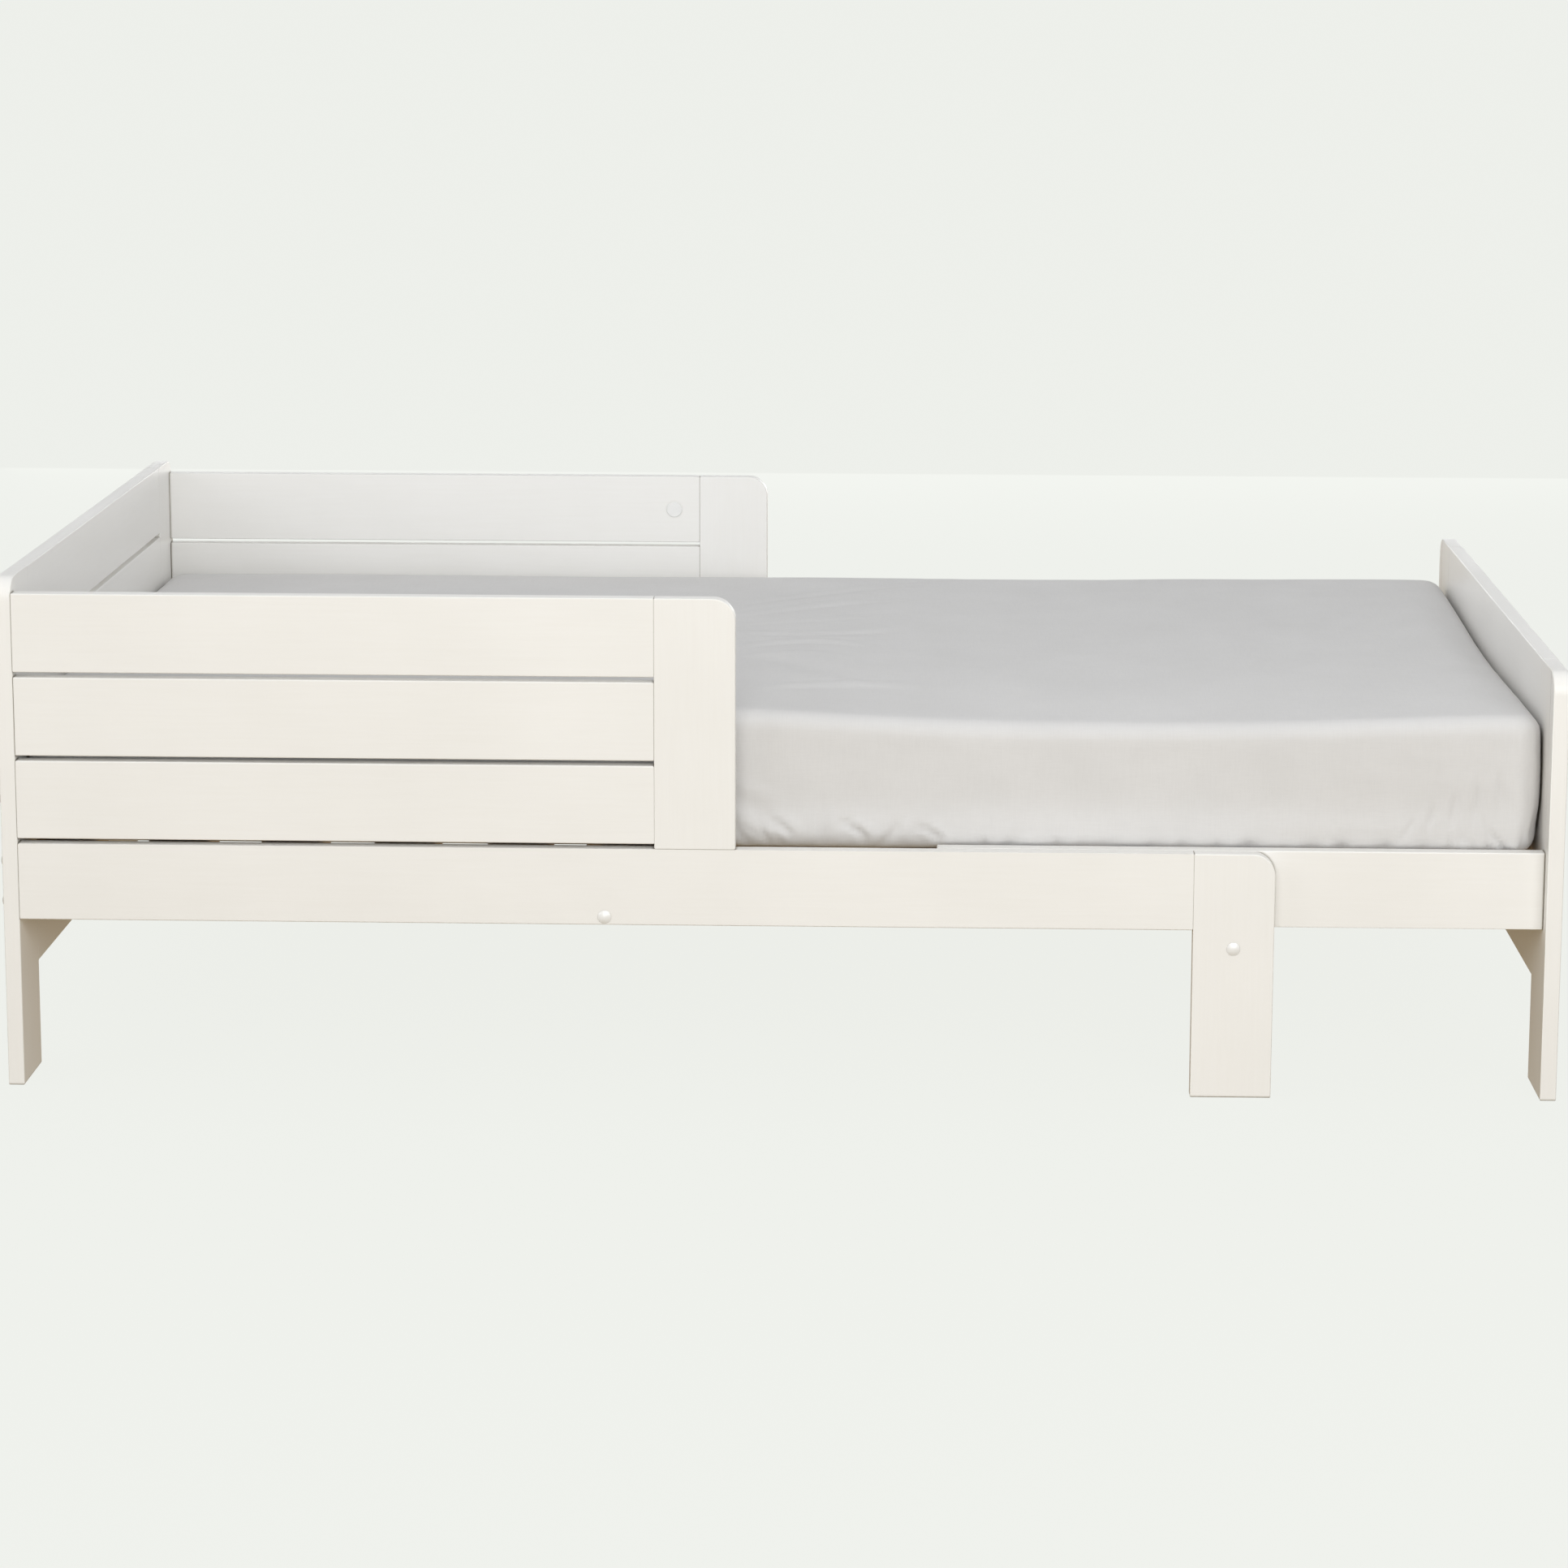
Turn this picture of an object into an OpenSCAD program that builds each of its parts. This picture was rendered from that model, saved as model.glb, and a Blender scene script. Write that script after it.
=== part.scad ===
// Toddler bed that grows with the child: painted boards, a footboard that slides out on
// telescoping rails, guard rails at the head, a slatted base and a mattress in a fitted sheet.
// +X runs from the headboard to the footboard and +Z is up. The origin is on the floor under
// the middle of the bed, which stands at the middle one of its three lengths.

/* [Bed] */
// Length of the mattress space with the footboard pushed fully in
collapsed_length = 1400; // [1300:10:1500]
// Travel of the footboard from one bed length to the next
extension_step = 300; // [260:10:300]
// Width of the mattress
mattress_width = 900; // [800:10:1000]
// Thickness of the mattress without its sheet
mattress_thickness = 160; // [100:1:170]
// Height of the side rails' lower edge above the floor
rail_height = 192; // [180:1:230]

/* [Boards] */
// Thickness of the painted boards
board_thickness = 18; // [16:1:22]
// Width of the side rails and of the end panels' boards
board_width = 87; // [84:1:92]
// Open gap between neighbouring boards
board_gap = 5.6; // [4:0.1:8]
// Width of the upright posts and legs
post_width = 90; // [85:1:100]
// Radius of the posts' rounded corners
corner_radius = 25; // [10:1:35]
// Running gap between the outer and the inner rail
slide_gap = 0.8; // [0.5:0.1:1.5]

/* [End panels] */
// Height of the lowest panel board above the floor
panel_height = 121; // [100:1:140]
// Boards in the headboard
headboard_count = 5; // [4:1:5]
// Boards in the footboard
footboard_count = 4; // [3:1:4]

/* [Guard rails] */
// Length of the guard boards, from the headboard to the guard post
guard_length = 711; // [600:1:740]
// Width of the guard boards
guard_board_width = 88.6; // [84:0.1:92]
// Boards in each guard
guard_count = 3; // [2:1:3]

/* [Slatted base] */
// Width of a slat
slat_width = 70; // [60:1:80]
// Thickness of a slat
slat_thickness = 15; // [12:1:16]
// Largest gap allowed between two slats
slat_gap_limit = 60; // [50:1:75]

/* [Hidden] */
$fn = 48;
front = -1;
back = 1;

// Lengths, measured along X from the headboard's inner face
rest_length = collapsed_length + extension_step;
head_x = -rest_length / 2;
outer_rail_length = collapsed_length - post_width;
rail_overlap = 75;
inner_rail_length = extension_step * 2 + rail_overlap;
inner_rail_start = rest_length - inner_rail_length;
mid_leg_centre = collapsed_length - post_width / 2;
cross_board_centre = 655;
cross_board_width = 80;

// Half widths, measured along Y from the bed's middle
mattress_side_gap = 3.2;
inner_rail_in = mattress_width / 2 + mattress_side_gap;
inner_rail_out = inner_rail_in + board_thickness;
outer_rail_in = inner_rail_out + slide_gap;
outer_rail_out = outer_rail_in + board_thickness;
outer_rail_mid = outer_rail_out - board_thickness / 2;
inner_rail_mid = inner_rail_out - board_thickness / 2;
post_in = outer_rail_out - post_width;

// Heights
board_pitch = board_width + board_gap;
guard_pitch = guard_board_width + board_gap;
rail_top = rail_height + board_width;
rail_middle = rail_height + board_width / 2;
guard_bottom = rail_top + board_gap;
guard_top = guard_bottom + guard_count * guard_pitch - board_gap;
ledge_width = 20;
ledge_height = 20;
ledge_bottom = rail_height + 43;
ledge_top = ledge_bottom + ledge_height;
mattress_bottom = ledge_top + slat_thickness + 0.5;
cross_board_top = rail_height + board_thickness;
middle_slat_top = ledge_top - 1;
bearer_top = middle_slat_top - slat_thickness;

// Slatted base
slat_end_gap = 8;
ledge_end_gap = 4;
head_base_end = collapsed_length - inner_rail_length - slat_end_gap;
bearer_middle = 300;
bearer_width = 40;
bearer_end_gap = 5;
head_slat_half = outer_rail_in - 2;
middle_slat_half = inner_rail_in - ledge_width - 3.2;
foot_slat_half = inner_rail_in - 3;
head_slat_screw_y = outer_rail_in - ledge_width / 2 - 1;
foot_slat_screw_y = inner_rail_in - ledge_width / 2;

// Beam across the middle legs, under the inner rails
beam_thickness = 42;
beam_depth = 60;
beam_bottom = cross_board_top - beam_depth;
beam_notch_top = rail_height - 1;
beam_notch_in = inner_rail_in - ledge_width - 5;
beam_bolt_height = rail_height - 21;
cross_bolt_height = rail_height + board_thickness / 2;

// Fasteners
hole_slack = 0.5;
bolt_d = 6;
bolt_hole_d = 6.6;
bolt_head_d = 12;
bolt_head_h = 3.4;
counterbore_d = 15.2;
counterbore_depth = 5;
cap_d = 15;
cap_dome = 2.4;
cap_skirt = 1.2;
nut_d = 10;
nut_hole_d = 10.2;
nut_length = 13.5;
beam_nut_half = 6.5;
nut_distance = 38;
nut_thread_d = 6.2;
bolt_reach = 48;
bolt_length = board_thickness + bolt_reach - 2;
insert_d = 10;
insert_hole_d = 10.2;
insert_length = 25;
dowel_d = 8;
dowel_hole_d = 8.2;
dowel_reach = 15;
dowel_hole_reach = dowel_reach + hole_slack;
rail_end_dowel_reach = 25;
post_dowel_reach = 12;
guard_post_dowel_inset = 20;
dowel_spread = 24;
cam_d = 15;
cam_hole_d = 15.2;
cam_depth = 12.5;
cam_distance = 34;
cam_pin_d = 7;
cam_pin_reach = 11;
cam_pin_hole_d = 7.4;
cam_cap_d = 21;
cam_cap_h = 1.2;
screw_d = 3.6;
screw_hole_d = 3.8;
screw_head_d = 7.4;
screw_head_h = 2;
slat_screw_length = 28;
bearer_screw_length = 38;
ledge_screw_length = ledge_width + 12;
ledge_screw_drop = 3;
head_ledge_screw_ends = [75, 85];
foot_ledge_screw_end = 95;
sleeve_d = 9;
sleeve_hole_d = 9.2;
sleeve_length = 13;
lock_head_d = 16;
lock_head_h = 6;
lock_x = mid_leg_centre + 13;
lock_backed_out = 14;

rail_bolt_heights = [rail_height + 20, rail_height + 66];
foot_bolt_height = rail_bolt_heights[1];
foot_dowel_height = rail_bolt_heights[0];
guard_bolt_heights = [guard_bottom + guard_board_width / 2, guard_top - guard_board_width / 2];

headboard_top = panel_height + headboard_count * board_pitch - board_gap;
footboard_top = panel_height + footboard_count * board_pitch - board_gap;

paint = "#ece8df";
pine = "#d9b98a";
sheet_grey = "#cfcdca";
foam = "#f2efe6";
plastic = "#f7f7f5";
zinc = "#b9bcc0";
brass = "#c9a24a";
beech = "#d8b88c";

SIDES = ["front", "back"];

// ---------- Placing and simple shapes ----------

// Children are drawn for the back of the bed, and mirrored when side is front
module on_side(side) {
    mirror([0, side == front ? 1 : 0, 0]) children();
}

module on_both_sides() {
    for (side = [front, back]) on_side(side) children();
}

// Children measure X from the headboard's inner face towards the foot
module from_head() {
    translate([head_x, 0, 0]) children();
}

// Children measure X outwards from the inner face of the headboard or footboard
module at_headboard() {
    mirror([1, 0, 0]) translate([rest_length / 2, 0, 0]) children();
}

module at_footboard() {
    translate([rest_length / 2, 0, 0]) children();
}

// A block between the low and high values of each axis
module block(x, y, z) {
    translate([x[0], y[0], z[0]]) cube([x[1] - x[0], y[1] - y[0], z[1] - z[0]]);
}

module rod_x(d, x, y, z) {
    translate([x[0], y, z]) rotate([0, 90, 0]) cylinder(d = d, h = x[1] - x[0]);
}

module rod_y(d, x, y, z) {
    translate([x, y[0], z]) rotate([-90, 0, 0]) cylinder(d = d, h = y[1] - y[0]);
}

module rod_z(d, x, y, z) {
    translate([x, y, z[0]]) cylinder(d = d, h = z[1] - z[0]);
}

// Outline of an upright board whose far top corner is rounded
module post_outline(width, height) {
    square([width - corner_radius, height]);
    square([width, height - corner_radius]);
    translate([width - corner_radius, height - corner_radius]) circle(r = corner_radius);
}

module rounded_outline(x, y, r) {
    translate([x[0] + r, y[0]]) square([x[1] - x[0] - 2 * r, y[1] - y[0]]);
    translate([x[0], y[0] + r]) square([x[1] - x[0], y[1] - y[0] - 2 * r]);
    for (cx = [x[0] + r, x[1] - r], cy = [y[0] + r, y[1] - r]) translate([cx, cy]) circle(r = r);
}

// ---------- Fasteners, each drawn along +Z from the face that it enters ----------

// Points +Z down the hole at each place where a bolt crosses an end panel's post
module at_bolts(heights, y) {
    for (z = heights) translate([board_thickness, y, z]) rotate([0, -90, 0]) children();
}

module bolt(length) {
    seat = counterbore_depth - bolt_head_h;
    difference() {
        union() {
            translate([0, 0, seat]) cylinder(d = bolt_head_d, h = bolt_head_h);
            translate([0, 0, counterbore_depth]) cylinder(d = bolt_d, h = length - counterbore_depth);
        }
        translate([0, 0, seat - 1]) cylinder(d = 4.6, h = 3.4, $fn = 6);
    }
}

module bolt_hole(length) {
    translate([0, 0, -1]) cylinder(d = counterbore_d, h = counterbore_depth + 1);
    translate([0, 0, -1]) cylinder(d = bolt_hole_d, h = length + 2);
}

// Domed cover cap that sits in the counterbore over a bolt's head
module bolt_cap() {
    sphere_r = (cap_d * cap_d / 4 + cap_dome * cap_dome) / (2 * cap_dome);
    cylinder(d = cap_d, h = cap_skirt);
    intersection() {
        translate([0, 0, sphere_r - cap_dome]) sphere(r = sphere_r);
        translate([0, 0, -cap_dome - 1]) cylinder(d = cap_d, h = cap_dome + 1);
    }
}

// Barrel nut pressed in from a board's face, with its thread across it at thread_depth
module barrel_nut(thread_depth) {
    difference() {
        translate([0, 0, 0.3]) cylinder(d = nut_d, h = nut_length);
        translate([-nut_d, 0, thread_depth]) rotate([0, 90, 0]) cylinder(d = nut_thread_d, h = 2 * nut_d);
    }
}

module countersunk_screw(length) {
    cylinder(d1 = screw_head_d, d2 = screw_d, h = screw_head_h);
    cylinder(d = screw_d, h = length);
}

module screw_hole(length) {
    translate([0, 0, -0.1]) cylinder(d1 = screw_head_d + 0.4, d2 = screw_hole_d, h = screw_head_h + 0.2);
    cylinder(d = screw_hole_d, h = length + hole_slack);
}

// ---------- End panels, with X measured outwards from their inner face ----------

module panel_dowels(count, d, reach) {
    on_both_sides() for (i = [0:count - 1], dz = [-dowel_spread, dowel_spread])
        rod_y(
            d,
            board_thickness / 2,
            [post_in - reach, post_in + reach],
            panel_height + i * board_pitch + board_width / 2 + dz
        );
}

module panel_post(top, count) {
    difference() {
        translate([0, post_in, 0]) rotate([90, 0, 90]) linear_extrude(board_thickness)
            post_outline(post_width, top);
        panel_dowels(count, dowel_hole_d, dowel_hole_reach);
    }
}

module panel_board(i, count) {
    bottom = panel_height + (i - 1) * board_pitch;
    difference() {
        block([0, board_thickness], [-post_in, post_in], [bottom, bottom + board_width]);
        panel_dowels(count, dowel_hole_d, dowel_hole_reach);
    }
}

module headboard_post(side) {
    color(paint) at_headboard() on_side(side) difference() {
        panel_post(headboard_top, headboard_count);
        at_bolts(concat(rail_bolt_heights, guard_bolt_heights), outer_rail_mid) bolt_hole(board_thickness);
    }
}

module headboard_board(i) {
    color(paint) at_headboard() panel_board(i, headboard_count);
}

module footboard_post(side) {
    color(paint) at_footboard() on_side(side) difference() {
        panel_post(footboard_top, footboard_count);
        at_bolts([foot_bolt_height], inner_rail_mid) bolt_hole(board_thickness);
        rail_end_dowel(dowel_hole_d, hole_slack);
    }
}

module footboard_board(i) {
    color(paint) at_footboard() panel_board(i, footboard_count);
}

// Dowel between an inner rail's end and the footboard post
module rail_end_dowel(d, slack) {
    rod_x(d, [-rail_end_dowel_reach - slack, post_dowel_reach + slack], inner_rail_mid, foot_dowel_height);
}

module headboard_dowels() {
    color(beech) at_headboard() panel_dowels(headboard_count, dowel_d, dowel_reach);
}

module footboard_dowels() {
    color(beech) at_footboard() {
        panel_dowels(footboard_count, dowel_d, dowel_reach);
        on_both_sides() rail_end_dowel(dowel_d, 0);
    }
}

// ---------- Side rails ----------

// Hole for a bolt in the end of a rail, and its barrel nut's hole from the rail's inner face
module board_end_bolt_hole(inner_face, middle, z) {
    rod_x(bolt_hole_d, [-1, bolt_reach], middle, z);
    rod_y(nut_hole_d, nut_distance, [inner_face - 1, inner_face + nut_length + 0.8], z);
}

// Hole for a bolt in the end of a guard board, widened at its mouth for a threaded insert
module board_end_insert_hole(middle, z) {
    rod_x(bolt_hole_d, [-1, bolt_reach], middle, z);
    rod_x(insert_hole_d, [-1, insert_length + hole_slack], middle, z);
}

module rail_dowel_set(d, reach) {
    for (dz = [-dowel_spread, dowel_spread])
        rod_x(d, [outer_rail_length - reach, outer_rail_length + reach], outer_rail_mid, rail_middle + dz);
}

module guard_post_dowel_set(d, reach) {
    for (dx = [guard_post_dowel_inset, post_width - guard_post_dowel_inset])
        rod_z(d, guard_length + dx, outer_rail_mid, [rail_top - reach, rail_top + reach]);
}

module at_cross_bolt() {
    translate([cross_board_centre, outer_rail_out, cross_bolt_height]) rotate([90, 0, 0]) children();
}

module at_beam_bolt() {
    translate([mid_leg_centre, outer_rail_out, beam_bolt_height]) rotate([90, 0, 0]) children();
}

module outer_rail(side) {
    color(paint) from_head() on_side(side) difference() {
        block([0, outer_rail_length], [outer_rail_in, outer_rail_out], [rail_height, rail_top]);
        for (z = rail_bolt_heights) board_end_bolt_hole(outer_rail_in, outer_rail_mid, z);
        rail_dowel_set(dowel_hole_d, dowel_hole_reach);
        guard_post_dowel_set(dowel_hole_d, dowel_hole_reach);
        at_cross_bolt() bolt_hole(board_thickness);
        head_ledge_screws() screw_hole(ledge_screw_length);
    }
}

module mid_leg(side) {
    color(paint) from_head() on_side(side) difference() {
        translate([outer_rail_length, outer_rail_out, 0]) rotate([90, 0, 0])
            linear_extrude(board_thickness) post_outline(post_width, rail_top);
        rail_dowel_set(dowel_hole_d, dowel_hole_reach);
        at_beam_bolt() bolt_hole(board_thickness);
    }
}

module rail_dowels() {
    color(beech) from_head() on_both_sides() rail_dowel_set(dowel_d, dowel_reach);
}

// Places children at the three sleeves in an inner rail's lower edge, one for each bed length
module at_lock_sleeves() {
    for (n = [-1:1]) translate([lock_x + n * extension_step, inner_rail_mid, rail_height]) children();
}

module inner_rail(side) {
    color(paint) from_head() on_side(side) difference() {
        block([inner_rail_start, rest_length], [inner_rail_in, inner_rail_out], [rail_height, rail_top]);
        at_lock_sleeves() translate([0, 0, -1]) cylinder(d = sleeve_hole_d, h = sleeve_length + 2);
        translate([rest_length, 0, 0]) {
            mirror([1, 0, 0]) board_end_bolt_hole(inner_rail_in, inner_rail_mid, foot_bolt_height);
            rail_end_dowel(dowel_hole_d, hole_slack);
        }
        foot_ledge_screws() screw_hole(ledge_screw_length);
    }
}

// Threaded sleeves that the locking bolts screw into
module lock_sleeves() {
    color(brass) from_head() on_both_sides() at_lock_sleeves() difference() {
        translate([0, 0, 0.3]) cylinder(d = sleeve_d, h = sleeve_length);
        translate([0, 0, -1]) cylinder(d = nut_thread_d, h = sleeve_length + 2);
    }
}

// Bolts up through the beam that fix the chosen length, drawn backed out of the inner rails
module lock_bolts() {
    head_bottom = beam_bottom - lock_backed_out - lock_head_h;
    color(zinc) from_head() on_both_sides() {
        rod_z(lock_head_d, lock_x, inner_rail_mid, [head_bottom, head_bottom + lock_head_h]);
        rod_z(bolt_d, lock_x, inner_rail_mid, [head_bottom, beam_notch_top - 0.5]);
    }
}

// ---------- Guard rails ----------

function guard_board_bottom(i) = guard_bottom + (i - 1) * guard_pitch;
guard_cam_boards = [1, guard_count];

module guard_dowel_set(d, reach) {
    for (i = [1:guard_count], dz = [-dowel_spread, dowel_spread])
        rod_x(
            d,
            [guard_length - reach, guard_length + reach],
            outer_rail_mid,
            guard_board_bottom(i) + guard_board_width / 2 + dz
        );
}

module guard_cam_pin_set(d, slack) {
    for (i = guard_cam_boards)
        rod_x(
            d,
            [guard_length - cam_distance - slack, guard_length + cam_pin_reach + slack],
            outer_rail_mid,
            guard_board_bottom(i) + guard_board_width / 2
        );
}

// Places children where a cam enters a guard board's inner face, with +Z into the board
module at_guard_cams() {
    for (i = guard_cam_boards)
        translate([
            guard_length - cam_distance,
            outer_rail_in,
            guard_board_bottom(i) + guard_board_width / 2
        ]) rotate([-90, 0, 0]) children();
}

module guard_board(side, i) {
    bottom = guard_board_bottom(i);
    color(paint) from_head() on_side(side) difference() {
        block([0, guard_length], [outer_rail_in, outer_rail_out], [bottom, bottom + guard_board_width]);
        for (z = guard_bolt_heights) board_end_insert_hole(outer_rail_mid, z);
        guard_dowel_set(dowel_hole_d, dowel_hole_reach);
        guard_cam_pin_set(cam_pin_hole_d, hole_slack);
        at_guard_cams() translate([0, 0, -1]) cylinder(d = cam_hole_d, h = cam_depth + 1.8);
    }
}

module guard_post(side) {
    color(paint) from_head() on_side(side) difference() {
        translate([guard_length, outer_rail_out, rail_top]) rotate([90, 0, 0])
            linear_extrude(board_thickness) post_outline(post_width, guard_top - rail_top);
        guard_dowel_set(dowel_hole_d, dowel_hole_reach);
        guard_cam_pin_set(cam_pin_hole_d, hole_slack);
        guard_post_dowel_set(dowel_hole_d, dowel_hole_reach);
    }
}

module guard_dowels() {
    color(beech) from_head() on_both_sides() {
        guard_dowel_set(dowel_d, dowel_reach);
        guard_post_dowel_set(dowel_d, dowel_reach);
    }
}

// Round cams in the guard boards, and the pins from the guard posts that they pull tight
module guard_cam_fittings() {
    color(zinc) from_head() on_both_sides() {
        difference() {
            at_guard_cams() translate([0, 0, 0.5]) cylinder(d = cam_d, h = cam_depth);
            guard_cam_pin_set(cam_pin_hole_d, hole_slack);
        }
        guard_cam_pin_set(cam_pin_d, 0);
    }
}

module guard_cam_caps() {
    color(plastic) from_head() on_both_sides() at_guard_cams() {
        translate([0, 0, -cam_cap_h]) cylinder(d1 = cam_cap_d - 2, d2 = cam_cap_d, h = cam_cap_h);
    }
}

// ---------- Beams and slatted base ----------

module cross_bolt_nut_hole() {
    rod_z(nut_hole_d, cross_board_centre, outer_rail_in - nut_distance, [rail_height - 1, rail_height + 15]);
}

module cross_board() {
    half = cross_board_width / 2;
    color(pine) from_head() difference() {
        block(
            [cross_board_centre - half, cross_board_centre + half],
            [-outer_rail_in, outer_rail_in],
            [rail_height, cross_board_top]
        );
        on_both_sides() {
            at_cross_bolt() cylinder(d = bolt_hole_d, h = board_thickness + bolt_reach);
            cross_bolt_nut_hole();
        }
        bearer_screws() screw_hole(bearer_screw_length);
    }
}

module mid_beam() {
    half = beam_thickness / 2;
    x = [mid_leg_centre - half, mid_leg_centre + half];
    color(pine) from_head() difference() {
        union() {
            block(x, [-outer_rail_in, outer_rail_in], [beam_bottom, beam_notch_top]);
            block(x, [-beam_notch_in, beam_notch_in], [beam_bottom, cross_board_top]);
        }
        on_both_sides() {
            at_beam_bolt() cylinder(d = bolt_hole_d, h = board_thickness + bolt_reach);
            rod_x(
                nut_hole_d,
                [x[0] - 1, mid_leg_centre + beam_nut_half + hole_slack],
                outer_rail_in - nut_distance,
                beam_bolt_height
            );
            rod_z(bolt_hole_d, lock_x, inner_rail_mid, [beam_bottom - 1, beam_notch_top + 1]);
        }
        bearer_screws() screw_hole(bearer_screw_length);
    }
}

module head_ledge(side) {
    color(pine) from_head() on_side(side) difference() {
        block(
            [ledge_end_gap, head_base_end],
            [outer_rail_in - ledge_width, outer_rail_in],
            [ledge_bottom, ledge_top]
        );
        head_ledge_screws() screw_hole(ledge_screw_length);
        head_slat_screws() screw_hole(slat_screw_length);
    }
}

module foot_ledge(side) {
    color(pine) from_head() on_side(side) difference() {
        block(
            [inner_rail_start + ledge_end_gap, rest_length - ledge_end_gap],
            [inner_rail_in - ledge_width, inner_rail_in],
            [ledge_bottom, ledge_top]
        );
        foot_ledge_screws() screw_hole(ledge_screw_length);
        foot_slat_screws() screw_hole(slat_screw_length);
    }
}

module bearer(side) {
    color(pine) from_head() on_side(side) difference() {
        block(
            [cross_board_centre - cross_board_width / 2 + bearer_end_gap, collapsed_length - bearer_end_gap],
            [bearer_middle - bearer_width / 2, bearer_middle + bearer_width / 2],
            [cross_board_top, bearer_top]
        );
        bearer_screws() screw_hole(bearer_screw_length);
        middle_slat_screws() screw_hole(slat_screw_length);
    }
}

function slat_count(span) = ceil((span[1] - span[0] + slat_gap_limit) / (slat_width + slat_gap_limit));
function slat_step(span) = (span[1] - span[0] - slat_width) / (slat_count(span) - 1);
function slat_starts(span) = [for (i = [0:slat_count(span) - 1]) span[0] + i * slat_step(span)];

head_span = [slat_end_gap, head_base_end];
middle_span = [head_base_end + slat_end_gap, collapsed_length - ledge_end_gap];
foot_span = [inner_rail_start + ledge_end_gap, rest_length - ledge_end_gap];

module slat_row(span, half, top) {
    for (x = slat_starts(span)) block([x, x + slat_width], [-half, half], [top - slat_thickness, top]);
}

// Places children on top of every slat in a row, with +Z down, at y from the bed's middle
module at_slat_screws(span, y, top) {
    for (x = slat_starts(span)) translate([x + slat_width / 2, y, top]) rotate([180, 0, 0]) children();
}

module head_slat_screws() {
    at_slat_screws(head_span, head_slat_screw_y, ledge_top + slat_thickness) children();
}

module middle_slat_screws() {
    at_slat_screws(middle_span, bearer_middle, middle_slat_top) children();
}

module foot_slat_screws() {
    at_slat_screws(foot_span, foot_slat_screw_y, ledge_top + slat_thickness) children();
}

module bearer_screws() {
    on_both_sides() for (x = [cross_board_centre, mid_leg_centre])
        translate([x, bearer_middle, bearer_top]) rotate([180, 0, 0]) children();
}

// Screws through a ledge into its rail, spread between two places along X, with +Z outwards
module ledge_screw_row(from, to, y) {
    for (n = [0:4])
        translate([from + (to - from) * n / 4, y, (ledge_bottom + ledge_top) / 2 - ledge_screw_drop])
            rotate([-90, 0, 0]) children();
}

module head_ledge_screws() {
    ledge_screw_row(
        head_ledge_screw_ends[0],
        head_base_end - head_ledge_screw_ends[1],
        outer_rail_in - ledge_width
    ) children();
}

module foot_ledge_screws() {
    ledge_screw_row(
        inner_rail_start + foot_ledge_screw_end,
        rest_length - foot_ledge_screw_end,
        inner_rail_in - ledge_width
    ) children();
}

module head_slats() {
    color(pine) from_head() difference() {
        slat_row(head_span, head_slat_half, ledge_top + slat_thickness);
        on_both_sides() head_slat_screws() screw_hole(slat_screw_length);
    }
}

module middle_slats() {
    color(pine) from_head() difference() {
        slat_row(middle_span, middle_slat_half, middle_slat_top);
        on_both_sides() middle_slat_screws() screw_hole(slat_screw_length);
    }
}

module foot_slats() {
    color(pine) from_head() difference() {
        slat_row(foot_span, foot_slat_half, ledge_top + slat_thickness);
        on_both_sides() foot_slat_screws() screw_hole(slat_screw_length);
    }
}

module head_section_screws() {
    color(zinc) from_head() {
        on_both_sides() {
            head_slat_screws() countersunk_screw(slat_screw_length);
            middle_slat_screws() countersunk_screw(slat_screw_length);
            head_ledge_screws() countersunk_screw(ledge_screw_length);
        }
        bearer_screws() countersunk_screw(bearer_screw_length);
    }
}

module foot_section_screws() {
    color(zinc) from_head() on_both_sides() {
        foot_slat_screws() countersunk_screw(slat_screw_length);
        foot_ledge_screws() countersunk_screw(ledge_screw_length);
    }
}

// ---------- Bolts, nuts and caps ----------

module headboard_bolts() {
    color(zinc) at_headboard() on_both_sides()
        at_bolts(concat(rail_bolt_heights, guard_bolt_heights), outer_rail_mid)
            bolt(bolt_length);
}

module footboard_bolts() {
    color(zinc) at_footboard() on_both_sides()
        at_bolts([foot_bolt_height], inner_rail_mid) bolt(bolt_length);
}

module beam_bolts() {
    color(zinc) from_head() on_both_sides() {
        at_cross_bolt() bolt(bolt_length);
        at_beam_bolt() bolt(bolt_length);
    }
}

module headboard_bolt_caps() {
    color(plastic) at_headboard() on_both_sides()
        at_bolts(concat(rail_bolt_heights, guard_bolt_heights), outer_rail_mid) bolt_cap();
}

module footboard_bolt_caps() {
    color(plastic) at_footboard() on_both_sides() at_bolts([foot_bolt_height], inner_rail_mid) bolt_cap();
}

module beam_bolt_caps() {
    color(plastic) from_head() on_both_sides() {
        at_cross_bolt() bolt_cap();
        at_beam_bolt() bolt_cap();
    }
}

// Barrel nuts in the rails and beams, and threaded inserts in the ends of the guard boards
module head_nuts() {
    nut_y = outer_rail_in - nut_distance;
    color(zinc) from_head() on_both_sides() {
        for (z = rail_bolt_heights)
            translate([nut_distance, outer_rail_in, z]) rotate([-90, 0, 0])
                barrel_nut(outer_rail_mid - outer_rail_in);
        for (z = guard_bolt_heights) difference() {
            rod_x(insert_d, [0.3, insert_length], outer_rail_mid, z);
            rod_x(nut_thread_d, [-1, insert_length + 1], outer_rail_mid, z);
        }
        translate([cross_board_centre, nut_y, rail_height]) rotate([0, 0, 90])
            barrel_nut(cross_bolt_height - rail_height);
        difference() {
            rod_x(
                nut_d,
                [mid_leg_centre - beam_nut_half, mid_leg_centre + beam_nut_half],
                nut_y,
                beam_bolt_height
            );
            rod_y(nut_thread_d, mid_leg_centre, [nut_y - nut_d, nut_y + nut_d], beam_bolt_height);
        }
    }
}

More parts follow.
